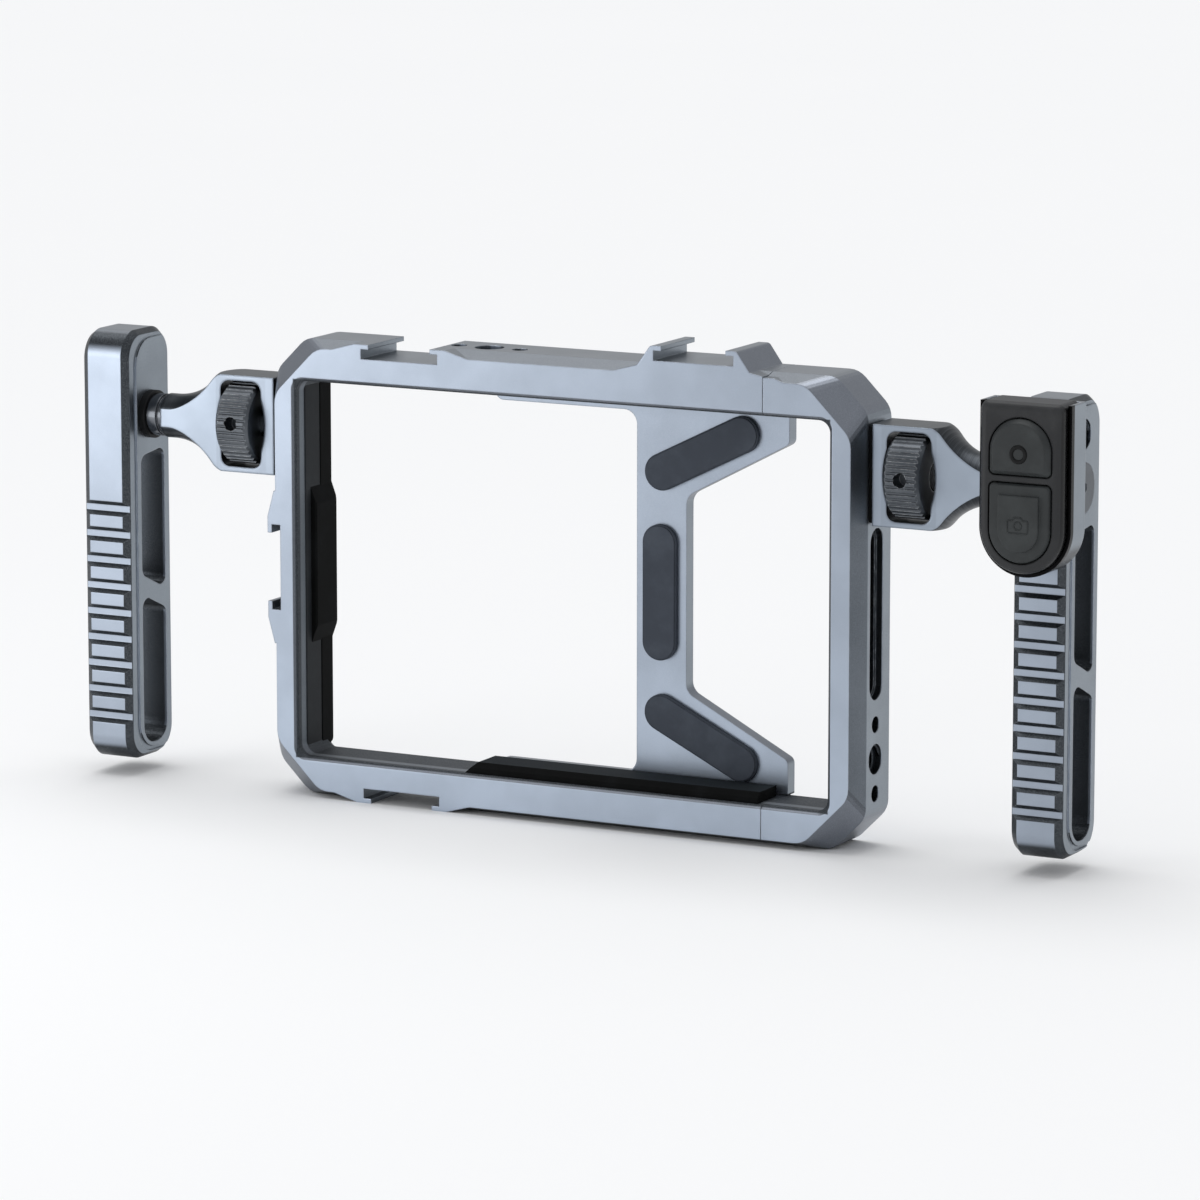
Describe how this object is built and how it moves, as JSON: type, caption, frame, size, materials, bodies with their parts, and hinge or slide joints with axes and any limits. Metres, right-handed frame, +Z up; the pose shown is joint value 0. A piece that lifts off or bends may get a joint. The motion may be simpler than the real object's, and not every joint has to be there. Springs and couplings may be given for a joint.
{
  "type": "smartphone video rig",
  "caption": "Telescoping metal phone cage with a K shaped back plate, cold shoes, swivelling side grips on clamp arms and a removable shutter remote.",
  "frame": {"origin": "middle of the closed cage's flat underside", "axes": "+X along the cage to the sliding end, +Y from the phone's screen side to the back, +Z up"},
  "size_m": [0.2351, 0.0305, 0.1028],
  "materials": {
    "anodised_frame": "satin bead blasted anodised",
    "anodised_arm": "fine turned and anodised",
    "dark_steel": "blackened",
    "bright_steel": "polished",
    "bush_plastic": "matt",
    "black_rubber": "matt",
    "slate_rubber": "matt",
    "remote_plastic": "fine texture",
    "button_rubber": "satin",
    "circuit_board": "satin",
    "cell_steel": "bright"
  },
  "bodies": {
    "cage": {"main_frame": "anodised_frame", "back_plate": "anodised_frame", "back_plate_screws": "dark_steel", "upper_back_pad": "slate_rubber", "middle_back_pad": "slate_rubber", "lower_back_pad": "slate_rubber", "left_end_pad": "black_rubber", "bottom_rail_pad": "black_rubber", "left_arm": "anodised_arm", "left_foot_pad": "black_rubber", "left_locating_pins": "bright_steel", "left_swivel_spacer": "bright_steel", "left_pivot_bolt": "dark_steel"},
    "sliding_end": {"end_frame": "anodised_frame", "upper_guide_rod": "bright_steel", "lower_guide_rod": "bright_steel", "upper_right_end_pad": "black_rubber", "lower_right_end_pad": "black_rubber", "right_arm": "anodised_arm", "right_foot_pad": "black_rubber", "right_locating_pins": "bright_steel", "right_swivel_spacer": "bright_steel", "right_pivot_bolt": "dark_steel"},
    "left_wheel": {"left_clamp_wheel": "dark_steel", "left_clamp_screw": "bright_steel"},
    "right_wheel": {"right_clamp_wheel": "dark_steel", "right_clamp_screw": "bright_steel"},
    "left_handle": {"left_grip": "anodised_frame", "left_swivel_bush": "bush_plastic"},
    "right_handle": {"right_grip": "anodised_frame", "right_swivel_bush": "bush_plastic", "remote_cradle": "anodised_frame", "cradle_screws": "dark_steel"},
    "remote": {"remote_case": "remote_plastic", "remote_back_cover": "remote_plastic", "remote_circuit_board": "circuit_board", "remote_button_cell": "cell_steel"},
    "upper_key": {"upper_button": "button_rubber"},
    "lower_key": {"lower_button": "button_rubber"},
    "upper_lock": {"upper_lock_screw": "dark_steel"},
    "lower_lock": {"lower_lock_screw": "dark_steel"}
  },
  "joints": [
    {"name": "end_slide", "type": "slide", "parent": "cage", "child": "sliding_end", "axis": [1, 0, 0], "range_m": [0, 0.035]},
    {"name": "left_wheel_turn", "type": "hinge", "parent": "cage", "child": "left_wheel", "pos_m": [-0.07865, 0.0011, 0.0788], "axis": [-1, 0, 0], "continuous": true},
    {"name": "right_wheel_turn", "type": "hinge", "parent": "sliding_end", "child": "right_wheel", "pos_m": [0.07865, 0.0011, 0.0788], "axis": [1, 0, 0], "continuous": true},
    {"name": "left_grip_swivel", "type": "hinge", "parent": "cage", "child": "left_handle", "pos_m": [-0.10413, 0.0011, 0.0788], "axis": [1, 0, 0], "continuous": true},
    {"name": "right_grip_swivel", "type": "hinge", "parent": "sliding_end", "child": "right_handle", "pos_m": [0.10413, 0.0011, 0.0788], "axis": [1, 0, 0], "continuous": true},
    {"name": "remote_lift", "type": "slide", "parent": "right_handle", "child": "remote", "axis": [0, 0, 1], "range_m": [0, 0.04]},
    {"name": "upper_button_press", "type": "slide", "parent": "remote", "child": "upper_key", "axis": [0, 1, 0], "range_m": [0, 0.0006], "stiffness_N_per_m": 2500},
    {"name": "lower_button_press", "type": "slide", "parent": "remote", "child": "lower_key", "axis": [0, 1, 0], "range_m": [0, 0.0006], "stiffness_N_per_m": 2500},
    {"name": "upper_lock_turn", "type": "hinge", "parent": "cage", "child": "upper_lock", "pos_m": [0.0432, 0.0077, 0.0942], "axis": [0, 1, 0], "continuous": true},
    {"name": "lower_lock_turn", "type": "hinge", "parent": "cage", "child": "lower_lock", "pos_m": [0.0432, 0.0077, 0.0044], "axis": [0, 1, 0], "continuous": true}
  ]
}
